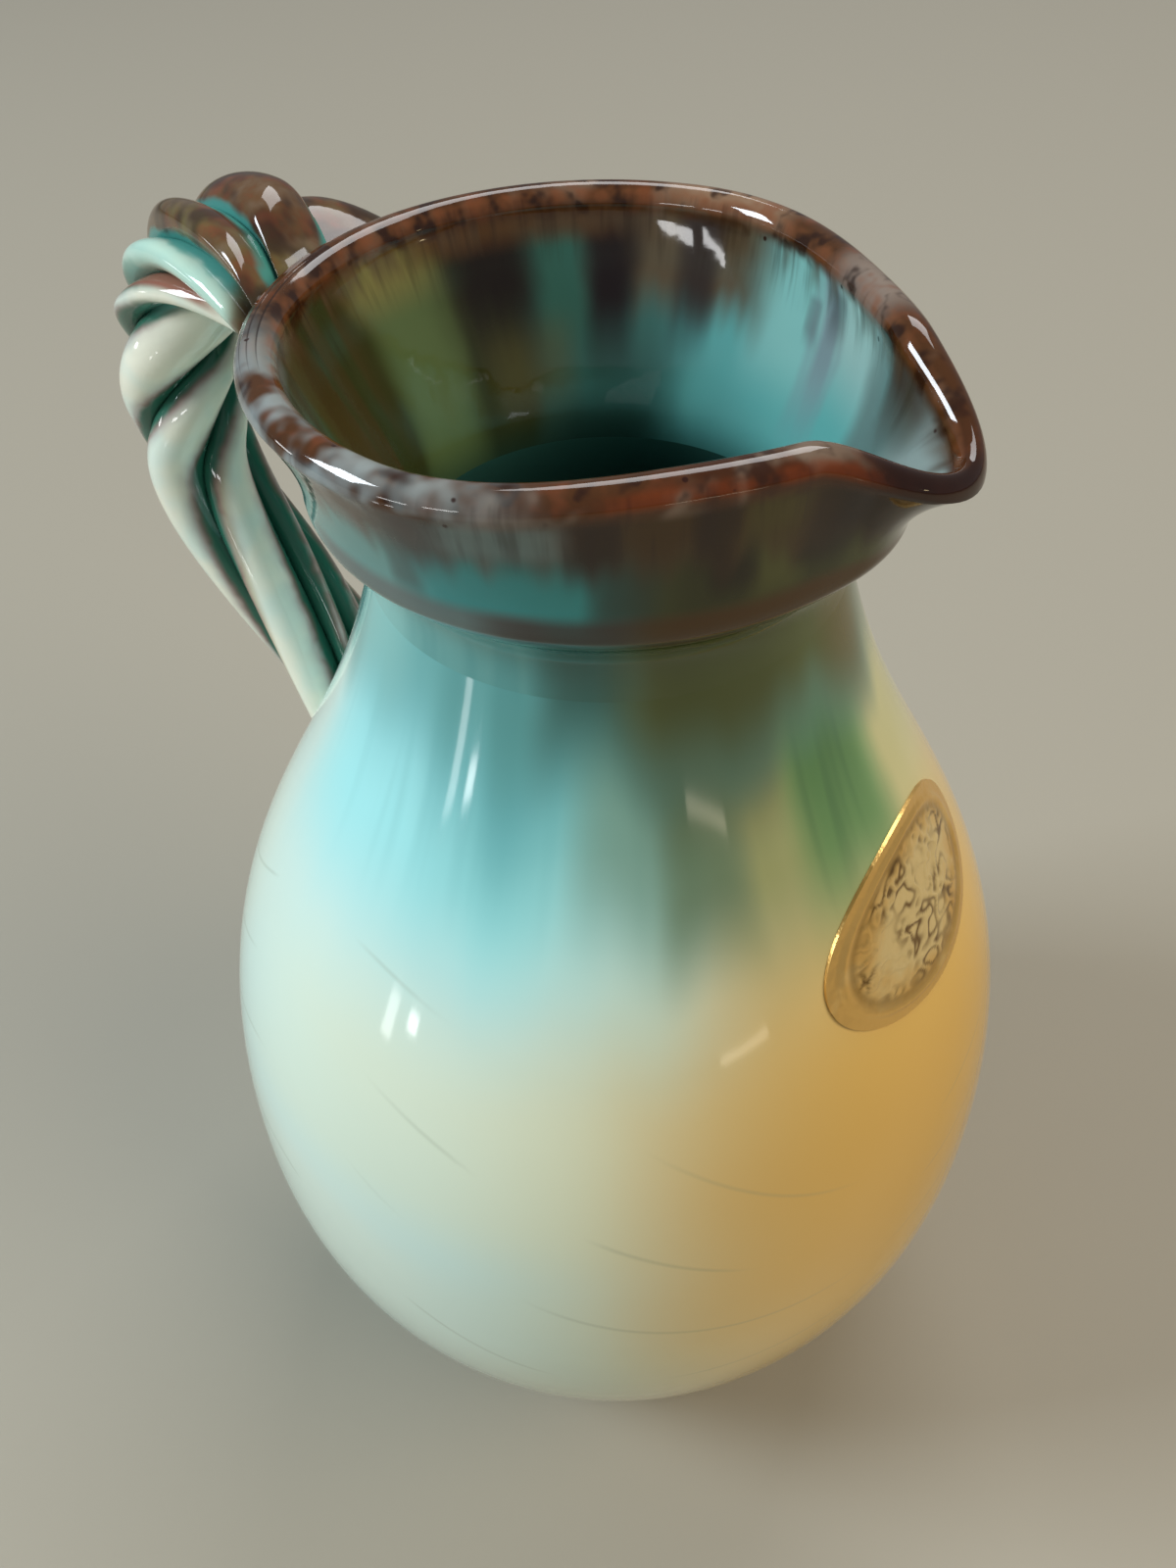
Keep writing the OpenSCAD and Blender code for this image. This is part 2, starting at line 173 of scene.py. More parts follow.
def fireGlaze(recipe):
    material, tree = startMaterial(recipe["name"])
    place = addNode(tree, "TexCoord").outputs["Object"]
    level = addNode(tree, "VectorMath", {0: place, 1: (1, 1, 0)}, operation="MULTIPLY").outputs[0]
    heading = addNode(tree, "VectorMath", {0: level}, operation="NORMALIZE").outputs[0]
    upright = addNode(tree, "VectorMath", {0: place, 1: (0, 0, 1)}, operation="MULTIPLY").outputs[0]
    # the surface rolled round one cylinder, so that streaks follow the way the glaze ran down
    roll = firing["rollRadius"] * mm
    rolled = addNode(tree, "VectorMath", {0: heading, 1: (roll, roll, 0), 2: upright},
                     operation="MULTIPLY_ADD").outputs[0]
    # the direction round the axis, with edges that wander
    sway = recipe["sway"]
    bend = addNode(tree, "TexNoise", {"Vector": rolled, "Scale": 1 / (recipe["swaySize"] * mm),
                                      "Detail": firing["swayDetail"]})
    back = addNode(tree, "VectorMath", {0: heading, 1: (-sway, -sway, 0)}, operation="ADD").outputs[0]
    swayed = addNode(tree, "VectorMath", {0: bend.outputs["Color"], 1: (2 * sway, 2 * sway, 0), 2: back},
                     operation="MULTIPLY_ADD").outputs[0]
    heading = addNode(tree, "VectorMath", {0: swayed}, operation="NORMALIZE").outputs[0]
    rise = addNode(tree, "SeparateXYZ", {0: place}).outputs["Z"]
    fields = {"height": addNode(tree, "Math", {0: rise, 1: 1 / mm}, operation="MULTIPLY").outputs[0]}
    for name in recipe["attributes"]:
        fields[name] = addNode(tree, "Attribute", attribute_name=name).outputs["Fac"]
    for name, (space, size, detail) in recipe["patches"].items():
        sized = addNode(tree, "Mapping", {"Vector": rolled if space == "runs" else place,
                                          "Scale": [1 / (length * mm) for length in size]})
        patch = addNode(tree, "TexNoise", {"Vector": sized.outputs[0], "Scale": 1.0, "Detail": detail,
                                           "Roughness": firing["patchRoughness"]})
        fields[name] = patch.outputs["Fac"]
    for name, (source, patch, amount) in recipe["wander"].items():
        moved = addNode(tree, "Math", {0: fields[patch], 1: 2 * amount, 2: fields[source]},
                        operation="MULTIPLY_ADD").outputs[0]
        fields[name] = addNode(tree, "Math", {0: moved, 1: -amount}, operation="ADD").outputs[0]
    for name, (spacing, size, share) in recipe["dots"].items():
        cells = addNode(tree, "TexVoronoi", {"Vector": place, "Scale": 1 / (spacing * mm)})
        pick = addNode(tree, "SeparateXYZ", {0: cells.outputs["Color"]}).outputs["X"]
        chosen = addNode(tree, "Math", {0: pick, 1: share}, operation="LESS_THAN").outputs[0]
        core = firing["dotCore"] * size / spacing
        dot = addNode(tree, "MapRange", {"Value": cells.outputs["Distance"], "From Min": size / spacing,
                                         "From Max": core}, interpolation_type="SMOOTHSTEP").outputs["Result"]
        fields[name] = addNode(tree, "Math", {0: dot, 1: chosen}, operation="MULTIPLY").outputs[0]
    colour = hexColour(recipe["ground"])
    for coat, strength, *where in recipe["coats"]:
        mask = strength
        for key, *limits in where:
            value, empty, full = fields.get(key), limits[0], limits[1]
            if key == "side":
                middle, reach, soft = (math.radians(angle) for angle in limits)
                value = addNode(tree, "VectorMath", {0: heading, 1: (math.cos(middle), math.sin(middle), 0)},
                                operation="DOT_PRODUCT").outputs["Value"]
                empty = math.cos(min(math.pi, reach + soft / 2))
                full = math.cos(max(0, reach - soft / 2))
            opening = addNode(tree, "MapRange", {"Value": value, "From Min": empty, "From Max": full},
                              interpolation_type="SMOOTHSTEP").outputs["Result"]
            mask = addNode(tree, "Math", {0: mask, 1: opening}, operation="MULTIPLY").outputs[0]
        colour = addNode(tree, "Mix", {0: mask, 6: colour, 7: hexColour(coat)}, data_type="RGBA").outputs[2]
    wave = addNode(tree, "TexNoise", {"Vector": place, "Scale": 1 / (recipe["waveSize"] * mm), "Detail": 1.0})
    bump = addNode(tree, "Bump", {"Height": wave.outputs["Fac"], "Strength": firing["waveStrength"],
                                  "Distance": recipe["waveDepth"] * mm})
    shader = addNode(tree, "BsdfPrincipled", {"Base Color": colour, "Roughness": recipe["roughness"],
                                              "IOR": recipe["ior"], "Normal": bump.outputs[0]})
    addNode(tree, "OutputMaterial", {"Surface": shader.outputs[0]})
    return material


# Body: the thrown belly
belly = {
    "baseRadius": 26, "bellyRadius": 42, "bellyHeight": 40, "seamRadius": 20, "seamHeight": 105.5,
    "wall": 3, "floor": 4, "footRound": 1.2, "curveSteps": 44, "spinSteps": 192,
    "basePull": (0.62, 0.25), "lowPull": 0.4, "highPull": 0.52, "shoulderPull": (0.34, 0.43),
}
bulge = belly["bellyRadius"] - belly["baseRadius"]
shoulderRise = belly["seamHeight"] - belly["bellyHeight"]
lowHalf = [
    (belly["baseRadius"], 0),
    (belly["baseRadius"] + belly["basePull"][0] * bulge, belly["basePull"][1] * belly["bellyHeight"]),
    (belly["bellyRadius"], (1 - belly["lowPull"]) * belly["bellyHeight"]),
    (belly["bellyRadius"], belly["bellyHeight"]),
]
highHalf = [
    (belly["bellyRadius"], belly["bellyHeight"]),
    (belly["bellyRadius"], belly["bellyHeight"] + belly["highPull"] * shoulderRise),
    (belly["seamRadius"] + belly["shoulderPull"][0] * (belly["bellyRadius"] - belly["seamRadius"]),
     belly["seamHeight"] - belly["shoulderPull"][1] * shoulderRise),
    (belly["seamRadius"], belly["seamHeight"]),
]
bellyOutline = curvePoints(lowHalf, belly["curveSteps"]) + curvePoints(highHalf, belly["curveSteps"])[1:]
bellyRows = [(p[1], p[0]) for p in bellyOutline]


def liningPoints(half):
    points = []
    for i in range(belly["curveSteps"] + 1):
        share = i / belly["curveSteps"]
        along = bezierSlope(half, share)
        points.append(bezier(half, share) + belly["wall"] * Vector((-along[1], along[0])))
    return points


bellyLining = [p for p in liningPoints(lowHalf) + liningPoints(highHalf)[1:]
               if belly["floor"] < p[1] < belly["seamHeight"]]
throatRadius = belly["seamRadius"] - belly["wall"]
footRound = belly["footRound"]
footCorner = [(belly["baseRadius"] - footRound, 0), (belly["baseRadius"] - 0.3 * footRound, 0.12 * footRound)]
bellyProfile = ([(0, 0)] + footCorner + [tuple(p) for p in bellyOutline if p[1] > footRound]
                + [(throatRadius, belly["seamHeight"])] + [tuple(p) for p in reversed(bellyLining)]
                + [(0, belly["floor"])])
body = throwOnWheel("thrownBelly", bellyProfile, belly["spinSteps"])
bodyInside = []
for vertex in body.data.vertices:
    radius = math.hypot(vertex.co.x, vertex.co.y) / mm
    height = vertex.co.z / mm
    halfway = lookUp(bellyRows, height) - belly["wall"] / 2
    bodyInside.append(float(height > belly["floor"] / 2 and radius < halfway))
paintAttribute(body, "inside", bodyInside)
bpy.ops.object.shade_smooth_by_angle(angle=smoothAngle)
print("belly thrown:", len(body.data.polygons), "faces")


# Faience glaze on the body: a soft, glassy coat that fades without edges from turquoise at the neck to mint,
# cream and honey on the belly, with one green run, long fine craze lines and a few dark pits. The honey is
# partly painted warm light on the right side; painted shade darkens the neck under the collar and the lining
# the dark teal at the front and the dark olive and brown towards the spout are partly glaze and partly painted
# shade under the collar's overhang
neckCoats = [  # round the neck, on both sides of the seam
    ("#67ABA9", 1.0),
    ("#4E918F", 0.6, ("streak", 0.38, 0.66)),
    ("#8CC4BE", 0.7, ("side", -134, 16, 22)),
    ("#345E56", 0.9, ("side", -65, 8, 14)),
    ("#525C36", 1.0, ("side", -22, 36, 16)),
    ("#39421F", 0.6, ("side", -36, 13, 20)),
    ("#5E5226", 0.7, ("side", 12, 15, 20)),
    ("#5C5C34", 0.9, ("side", 52, 30, 26)),
    ("#47706A", 0.8, ("side", 176, 34, 40)),
]
crazeLines = (22, 33, 41, 50, 58, 66)  # mean heights of the lines
crazeWidth = 0.3  # drawn wider than a real crack, so that it shows
bodyGlaze = {
    "name": "faienceGlazeTurquoiseToHoneyAndPaintedWarmLight", "ground": "#CFEDE5", "attributes": ["inside"],
    "sway": 0.05, "swaySize": 20,
    "patches": {"streak": ("runs", (9, 9, 70), 1.0), "fine": ("runs", (2.6, 2.6, 50), 1.0),
                "cloud": ("place", (34, 34, 22), 0.0), "shown": ("place", (20, 20, 20), 0.0),
                "slant": ("place", (62, 62, 80), 0.0)},
    "wander": {"runHeight": ("height", "streak", 4.5), "fineHeight": ("height", "fine", 3),
               "crazeHeight": ("height", "slant", 26)},
    "dots": {"pits": (13, 0.5, 0.1)},
    "waveSize": 6, "waveDepth": 0.04, "roughness": 0.07, "ior": 1.52,
    "coats": [
        # cream clouds, then the honey side: partly the glaze's own tint and partly painted warm light from the
        # right
        ("#DCEDDC", 0.7, ("cloud", 0.4, 0.66)),
        ("#DFEACF", 0.6, ("side", -84, 36, 40), ("height", 52, 62), ("height", 82, 70)),
        ("#D2C898", 0.95, ("side", 8, 66, 64), ("height", 102, 80)),
        ("#DBB560", 1.0, ("side", 10, 50, 58), ("height", 92, 70)),
        ("#CFA24A", 0.5, ("side", -16, 28, 44), ("height", 80, 62), ("height", 28, 54)),
        # turquoise that ran from the neck on the near side, and a second run behind
        ("#BFEBE7", 0.9, ("side", -93, 42, 30), ("runHeight", 71, 88)),
        ("#A4EBEC", 1.0, ("side", -101, 33, 26), ("runHeight", 77, 90)),
        ("#80CBCC", 0.9, ("side", -74, 20, 22), ("runHeight", 82, 97)),
        ("#66B0B3", 0.75, ("side", -88, 40, 26), ("runHeight", 89, 103)),
        ("#62AEB2", 0.45, ("side", -88, 42, 22), ("runHeight", 85, 99), ("streak", 0.42, 0.66)),
        ("#6BB7BA", 0.3, ("side", -88, 42, 22), ("fineHeight", 83, 97), ("fine", 0.46, 0.7)),
        ("#8FD4D3", 1.0, ("side", 112, 42, 30), ("runHeight", 76, 96)),
        ("#5AA9AC", 0.7, ("side", 104, 30, 26), ("runHeight", 88, 104)),
        # grey-green edge of the sheet, olive beside it
        ("#7FA899", 0.85, ("side", -55, 10, 14), ("runHeight", 80, 92)),
        ("#9DA470", 0.95, ("side", -28, 11, 16), ("height", 77, 90)),
        ("#6A8468", 0.9, ("side", -44, 6, 9), ("runHeight", 80, 90)),
        # dark olive high on the shoulder, partly glaze and partly painted shade under the collar's overhang
        ("#4F5B3A", 0.9, ("side", -37, 15, 15), ("runHeight", 90, 101)),
        # green run towards the label, olive yellow beyond it
        ("#BFBC84", 0.9, ("side", 16, 18, 20), ("runHeight", 76, 92)),
        ("#6C9660", 1.0, ("side", -11, 12, 13), ("runHeight", 76, 89)),
        ("#4C794B", 0.85, ("side", -13, 8, 11), ("runHeight", 82, 97)),
        ("#3F6745", 0.5, ("side", -11, 10, 10), ("runHeight", 80, 92), ("fine", 0.48, 0.68)),
    # the neck's coats, partly painted shade under the collar's overhang
    ] + [(coat, strength, *where, ("runHeight", 94, 105)) for coat, strength, *where in neckCoats] + [
        ("#7E8C74", 0.24, ("crazeHeight", line - crazeWidth, line), ("crazeHeight", line + crazeWidth, line),
         ("shown", 0.4, 0.52)) for line in crazeLines
    ] + [
        ("#22281F", 0.9, ("pits", 0.0, 1.0)),
        # the lining, painted dark green as the shade inside the belly and less dark near the neck, and bare clay
        # under the foot
        ("#16261F", 1.0, ("inside", 0.4, 0.6)),
        ("#2E5750", 0.9, ("inside", 0.4, 0.6), ("height", 84, 106)),
        ("#C9A67E", 1.0, ("height", 0.5, 0.2)),
    ],
}
finishPiece(body, fireGlaze(bodyGlaze), "body_glaze", "body")
print("belly glazed")


# Collar: the neck, the bulging collar, the lip and the pinched spout
collarShape = {
    "height": 20, "rimRadius": 26.4, "rimSetback": 1, "lip": 3.2, "knuckleRadius": 23.9, "knuckleRise": 9,
    "spoutReach": 4.3, "spoutDip": 4.5, "spoutHalfAngle": 27,
    "pinchDepth": 2.7, "pinchAngle": 48, "pinchHalfAngle": 52, "pullPower": 2.8, "dipPower": 2.6,
    "spoutThin": 0.3, "waistPull": (-0.41, 0.72), "knucklePull": (0, 0.33), "sideLowPull": (-0.04, 0.25),
    "sideHighPull": (0.8, 0.42), "throatHighPull": (0.26, 0.38), "throatLowPull": (0, 0.27),
    "curveSteps": 24, "lipSteps": 36, "spinSteps": 288,
    # rings that a tool scored in the lip beside the handle: angle over the lip, depth, direction and reach
    "scores": (50, 75, 100), "scoreWidth": 8, "scoreDepth": 0.07, "scoreMiddle": 205, "scoreReach": 42,
}
seamHeight = belly["seamHeight"]
seamRadius = belly["seamRadius"]
rimHeight = seamHeight + collarShape["height"]
lipRadius = collarShape["lip"] / 2
lipHeight = rimHeight - lipRadius
knuckleHeight = seamHeight + collarShape["knuckleRise"]
overhang = collarShape["knuckleRadius"] - seamRadius
flare = collarShape["rimRadius"] - collarShape["knuckleRadius"]
flareRise = lipHeight - knuckleHeight
mouthRadius = collarShape["rimRadius"] - collarShape["lip"]
mouthFlare = mouthRadius - throatRadius
waist = [
    (seamRadius, seamHeight),
    (seamRadius + collarShape["waistPull"][0] * overhang,
     seamHeight + collarShape["waistPull"][1] * collarShape["knuckleRise"]),
    (collarShape["knuckleRadius"] + collarShape["knucklePull"][0] * overhang,
     knuckleHeight - collarShape["knucklePull"][1] * collarShape["knuckleRise"]),
    (collarShape["knuckleRadius"], knuckleHeight),
]
collarSide = [
    (collarShape["knuckleRadius"], knuckleHeight),
    (collarShape["knuckleRadius"] + collarShape["sideLowPull"][0] * flare,
     knuckleHeight + collarShape["sideLowPull"][1] * flareRise),
    (collarShape["rimRadius"] - collarShape["sideHighPull"][0] * flare,
     lipHeight - collarShape["sideHighPull"][1] * flareRise),
    (collarShape["rimRadius"], lipHeight),
]
throatSide = [
    (mouthRadius, lipHeight),
    (mouthRadius - collarShape["throatHighPull"][0] * mouthFlare,
     lipHeight - collarShape["throatHighPull"][1] * collarShape["height"]),
    (throatRadius + collarShape["throatLowPull"][0] * mouthFlare,
     seamHeight + collarShape["throatLowPull"][1] * collarShape["height"]),
    (throatRadius, seamHeight),
]
lipMiddle = collarShape["rimRadius"] - lipRadius
neckMiddle = seamRadius - belly["wall"] / 2


def heightShare(z):
    return clamp((z - seamHeight) / (lipHeight - seamHeight))


def pullShare(z):
    return heightShare(z) ** collarShape["pullPower"]


def wallMiddle(z):
    return neckMiddle + heightShare(z) * (lipMiddle - neckMiddle)


def beak(angle):
    return swell(math.degrees(angle) / collarShape["spoutHalfAngle"])


def rimPull(angle):
    turn = math.degrees(angle)
    pinches = sum(swell((turn + side * collarShape["pinchAngle"]) / collarShape["pinchHalfAngle"])
                  for side in (-1, 1))
    return (collarShape["spoutReach"] * beak(angle) - collarShape["pinchDepth"] * pinches
            - collarShape["rimSetback"] * math.cos(angle))


def planPoint(angle, z):
    return (wallMiddle(z) + pullShare(z) * rimPull(angle)) * Vector((math.cos(angle), math.sin(angle)))


def drawSpout(x, y, z):  # where a point of the round collar goes when the rim is pinched and pulled
    angle = math.atan2(y, x)
    nearby = math.radians(1)
    along = (planPoint(angle + nearby, z) - planPoint(angle - nearby, z)).normalized()
    thinning = 1 - collarShape["spoutThin"] * beak(angle) * pullShare(z)
    plan = planPoint(angle, z) + thinning * (math.hypot(x, y) - wallMiddle(z)) * Vector((along[1], -along[0]))
    dip = heightShare(z) ** collarShape["dipPower"] * collarShape["spoutDip"] * beak(angle)
    return plan[0], plan[1], z - dip


def scoreAt(x, y, z):  # how deep in a scored ring a point of the lip lies, from 0 to 1
    over = math.degrees(math.atan2(z - lipHeight, math.hypot(x, y) - lipMiddle))
    away = (math.degrees(math.atan2(y, x)) - collarShape["scoreMiddle"] + 180) % 360 - 180
    depth = max(swell((over - ring) / collarShape["scoreWidth"]) for ring in collarShape["scores"])
    return depth * swell(away / collarShape["scoreReach"]) if z > lipHeight else 0.0


lipPoints = []
for i in range(1, collarShape["lipSteps"]):
    angle = math.pi * i / collarShape["lipSteps"]
    lipPoints.append((lipMiddle + lipRadius * math.cos(angle), lipHeight + lipRadius * math.sin(angle)))
collarProfile = ([tuple(p) for p in curvePoints(waist, collarShape["curveSteps"])]
                 + [tuple(p) for p in curvePoints(collarSide, collarShape["curveSteps"])[1:]]
                 + lipPoints + [tuple(p) for p in curvePoints(throatSide, collarShape["curveSteps"])]
                 + [(seamRadius, seamHeight)])
collar = throwOnWheel("thrownCollar", collarProfile, collarShape["spinSteps"])
collarInside, collarDrop, collarScore = [], [], []
for vertex in collar.data.vertices:
    x, y, z = vertex.co / mm
    collarInside.append(clamp(0.5 - (math.hypot(x, y) - wallMiddle(z)) / collarShape["lip"]))
    collarDrop.append(rimHeight - z)
    score = scoreAt(x, y, z)
    collarScore.append(score)
    shrink = 1 - score * collarShape["scoreDepth"] / lipRadius
    outward = Vector((x, y, 0)).normalized() * lipMiddle + Vector((0, 0, lipHeight))
    x, y, z = outward + (Vector((x, y, z)) - outward) * shrink
    vertex.co = Vector(drawSpout(x, y, z)) * mm
paintAttribute(collar, "inside", collarInside)
paintAttribute(collar, "drop", collarDrop)
paintAttribute(collar, "score", collarScore)
bpy.ops.object.shade_smooth_by_angle(angle=smoothAngle)
print("collar thrown and its spout drawn:", len(collar.data.polygons), "faces")


# Drip glaze on the collar: manganese brown and mauve that mottles and runs over turquoise, dark olive on the
# spout's side, a purple-brown line where it gathers on the lower edge, a thin orange break on the inner lip
# and dark drips down the throat. Painted shade lies under the collar's overhang and deep in the throat, and a
# painted reflection on the lip's left. "drop" is the depth below the rim, "inside" runs from 0 outside to 1
# inside
throat = ("inside", 0.8, 0.95)
bandAbove, bandBelow = ("drop", 9.2, 10.6), ("drop", 12.8, 11.4)
collarGlaze = {
    "name": "faienceDripGlazeManganese", "ground": "#609E9A", "attributes": ["inside", "drop", "score"],
    "sway": 0.06, "swaySize": 9,
    "patches": {"streak": ("runs", (3.2, 3.2, 26), 1.0), "fine": ("runs", (1.3, 1.3, 10), 2.0),
                "mottle": ("place", (4.6, 4.6, 4.6), 2.0), "blots": ("place", (2.4, 2.4, 2.4), 2.0)},
    "wander": {"runDrop": ("drop", "streak", 2.6)},
    "dots": {"specks": (2.4, 0.3, 0.3)},
    "waveSize": 1.6, "waveDepth": 0.1, "roughness": 0.06, "ior": 1.54,
    # the neck's coats first, partly painted shade under the overhang, then the collar's own
    "coats": neckCoats[1:] + [
        # side of the collar: turquoise in the middle, olive towards the spout
        ("#5F8E89", 0.9, ("side", -114, 18, 14), ("drop", 12.5, 10)),
        ("#2E8483", 0.95, ("side", -77, 17, 15), ("drop", 12.5, 10)),
        ("#3A4A48", 0.7, ("side", -96, 2, 6), ("drop", 11, 8.5)),
        ("#23352D", 0.85, ("side", -58, 4, 9), ("drop", 13, 9)),
        ("#2A2C10", 0.95, ("side", -20, 33, 14), ("drop", 14, 9)),
        ("#4A4C24", 0.8, ("side", -32, 4, 7), ("drop", 12, 8)),
        ("#454A26", 0.7, ("side", -12, 5, 8), ("drop", 13, 9)),
        ("#191003", 0.8, ("side", -40, 3, 6), ("drop", 10, 7.5)),
        ("#191003", 0.8, ("side", -24, 4, 6), ("drop", 9.5, 7)),
        ("#3F6660", 0.8, ("side", 118, 80, 30), ("drop", 12, 9), ("streak", 0.4, 0.6)),
        # the line on the lower edge
        ("#5E5C5A", 0.75, ("side", -98, 24, 14), bandAbove, bandBelow),
        ("#372A26", 0.85, ("side", -68, 12, 12), bandAbove, bandBelow),
        ("#42290E", 0.85, ("side", -22, 34, 14), bandAbove, ("drop", 15.5, 12)),
        ("#5E4840", 0.75, ("side", 118, 84, 24), bandAbove, bandBelow),
        # brown that gathers below the lip
        ("#493829", 1.0, ("runDrop", 7.8, 3)),
        ("#6D6862", 0.8, ("side", -103, 32, 28), ("runDrop", 7.4, 3), ("mottle", 0.36, 0.62)),
        ("#657A78", 0.85, ("side", -79, 8, 10), ("drop", 6, 4), ("drop", 1.2, 3)),
        ("#332624", 0.75, ("side", -90, 3, 7), ("runDrop", 9, 5)),
        ("#3A2708", 1.0, ("side", -28, 33, 16), ("runDrop", 8.4, 3.8)),
        ("#444018", 0.7, ("side", -33, 5, 9), ("drop", 7, 3.5)),
        ("#221003", 0.9, ("side", -64, 3, 7), ("runDrop", 8.5, 4.5)),
        ("#1E0E02", 0.8, ("side", -44, 2, 6), ("runDrop", 9, 5)),
        ("#160500", 1.0, ("side", -8, 15, 14), ("runDrop", 9.5, 5)),
        ("#22110A", 0.5, ("fine", 0.46, 0.7), ("runDrop", 7.6, 3.4)),
        # throat: turquoise on the spout's side, olive behind, brown above with dark drips, and painted shade deep
        # down
        ("#63AEAA", 1.0, throat),
        ("#3A665F", 0.9, throat, ("side", 117, 15, 19)),
        ("#8FC8C1", 0.85, throat, ("side", 68, 10, 18), ("drop", 15, 9)),
        ("#B0CDC6", 0.8, throat, ("side", 42, 13, 18), ("drop", 13, 5)),
        ("#626E6B", 0.85, throat, ("side", 24, 8, 14), ("drop", 20, 12)),
        ("#7C8690", 0.75, throat, ("side", 57, 3, 10), ("drop", 18, 8), ("streak", 0.3, 0.56)),
        ("#3E343C", 0.6, throat, ("side", 54, 1.5, 5), ("drop", 8, 4.5), ("drop", 1.6, 3.2)),
        ("#5E6066", 0.5, throat, ("side", 63, 1, 5), ("drop", 9, 7), ("drop", 4, 5)),
        ("#33381B", 1.0, throat, ("side", 178, 44, 20)),
        ("#32655A", 1.0, throat, ("side", 129, 5, 12), ("drop", 16, 9)),
        ("#625C30", 0.45, throat, ("side", 140, 8, 14), ("drop", 19, 14), ("drop", 8, 12)),
        ("#56683F", 1.0, throat, ("side", 169, 7, 17)),
        ("#837943", 0.75, throat, ("side", 170, 9, 16), ("drop", 7, 3.5)),
        ("#43351B", 0.85, throat, ("side", 204, 16, 14), ("streak", 0.32, 0.62)),
        ("#5E4F3B", 1.0, throat, ("side", 100, 19, 18), ("runDrop", 11, 6)),
        ("#241A1E", 0.8, throat, ("side", 98, 3, 9), ("runDrop", 14, 7)),
        ("#180C0E", 1.0, throat, ("side", 118, 4.5, 9), ("drop", 17, 8)),
        ("#170B04", 1.0, throat, ("side", 145, 7, 13), ("runDrop", 15, 6), ("drop", 2, 3.6)),
        ("#573819", 0.9, throat, ("side", 140, 22, 14), ("drop", 4.8, 2.4)),
        ("#8F9995", 0.9, throat, ("side", 1, 13, 10)),
        ("#402B1D", 0.85, throat, ("side", 18, 4, 8), ("drop", 10, 3)),
        ("#4B3A28", 0.8, throat, ("side", -80, 66, 30), ("runDrop", 8, 4)),
        ("#54422F", 0.7, throat, ("streak", 0.44, 0.6), ("runDrop", 5, 2.6)),
        ("#2A1D10", 0.4, throat, ("fine", 0.46, 0.7), ("runDrop", 7, 3)),
        # painted shade deep in the throat, darker towards the bottom and darkest on the far wall
        ("#1B423B", 0.7, throat, ("drop", 16, 22)),
        ("#0E1C12", 0.6, throat, ("side", 122, 13, 18), ("drop", 14, 19)),
        # lip
        ("#4A2C14", 1.0, ("drop", 2.6, 1.2)),
        ("#857A6E", 0.6, ("side", -60, 40, 40), ("mottle", 0.46, 0.66), ("drop", 2.7, 1.2)),
        ("#7E6A5A", 0.5, ("mottle", 0.5, 0.7), ("drop", 2.7, 1.4)),
        ("#8A7E74", 0.75, ("side", 44, 10, 14), ("drop", 2.4, 1.2)),
        ("#967A62", 0.7, ("side", 92, 12, 14), ("drop", 1.8, 0.8)),
        ("#743E22", 0.5, ("blots", 0.52, 0.72), ("drop", 2.4, 1.0)),
        ("#28130A", 0.85, ("blots", 0.48, 0.34), ("drop", 3, 1.2)),
        # pale blue-grey on the lip's left, partly grey glaze and partly painted reflection of the window
        ("#8F9B9C", 0.85, ("side", -112, 30, 30), ("mottle", 0.36, 0.54), ("drop", 3.2, 1.2)),
        ("#3E1E08", 0.85, ("side", -22, 28, 24), ("drop", 2.8, 1.2), ("mottle", 0.6, 0.46)),
        ("#7A360C", 0.6, ("side", -30, 30, 16), ("drop", 1.8, 1.0), ("drop", 0.2, 0.7), ("inside", 0.6, 0.4),
         ("blots", 0.34, 0.56)),
        ("#220B03", 0.95, ("side", -8, 10, 10), ("drop", 3.4, 1.8), ("inside", 0.6, 0.4)),
        ("#855030", 0.45, ("inside", 0.7, 0.88), ("drop", 1.8, 0.8), ("blots", 0.36, 0.6)),
        ("#2A120A", 0.35, ("fine", 0.5, 0.7), ("drop", 2.8, 1.6), ("drop", 0.3, 0.8)),
        ("#1E100A", 0.8, ("score", 0.35, 0.9)),
        ("#2A0E06", 0.9, ("specks", 0.0, 1.0), ("drop", 4.5, 2.5)),
    ],
}
finishPiece(collar, fireGlaze(collarGlaze), "collar_glaze", "collar")
print("collar glazed")


# Handle: five coils of clay twisted into a rope, luted to the rim and to the shoulder
rope = {
    # each coil is rolled unevenly and takes its own part of the turn at the rim and at the shoulder
    "topShares": (0.46, 0.135, 0.14, 0.11, 0.155), "lowShares": (0.13, 0.095, 0.085, 0.29, 0.4),
    "width": 11.4, "grooveDepth": 1.9, "reach": 19.8, "reachDrop": 21, "topDrop": 4.5, "lowDrop": 27.5,
    "turns": 1.28, "startTurn": 6, "evenTwist": 0.7, "gather": (0.154, 0.61),
    "aside": 1.5, "asideLength": 0.7, "rootWide": 0.95, "rootFlat": 0.5, "flatLength": 0.1, "footWide": 0.1,
    "spread": 0.32, "seatBlend": 1.8, "sink": 0.35, "rootPull": (0.32, 0.2), "crownPull": 1.32,
    "sidePull": 0.32, "footPull": (0.4, 0.39), "crestPower": 0.7, "valley": 0.1, "core": 0.16,
    "overlap": 0.4, "alongSteps": 130, "crestSteps": 34, "flankSteps": 3, "lengthSteps": 160, "seatHalvings": 24,
    "brownReach": (0.22, 0.1, 0.1, 0.27, 0.24),  # how far down each coil the brown of the rim runs
}
ropeRadius = rope["width"] / 2
grooveRadius = ropeRadius - rope["grooveDepth"]
backRows = []
for p in curvePoints(collarSide, collarShape["curveSteps"]):
    backRows.append((p[1], p[0] + pullShare(p[1]) * collarShape["rimSetback"]))


def backRadius(z):  # the jug's outer face behind, straight down past the collar's lower edge
    return lookUp(backRows, z) if z > seamHeight else lookUp(bellyRows, z)


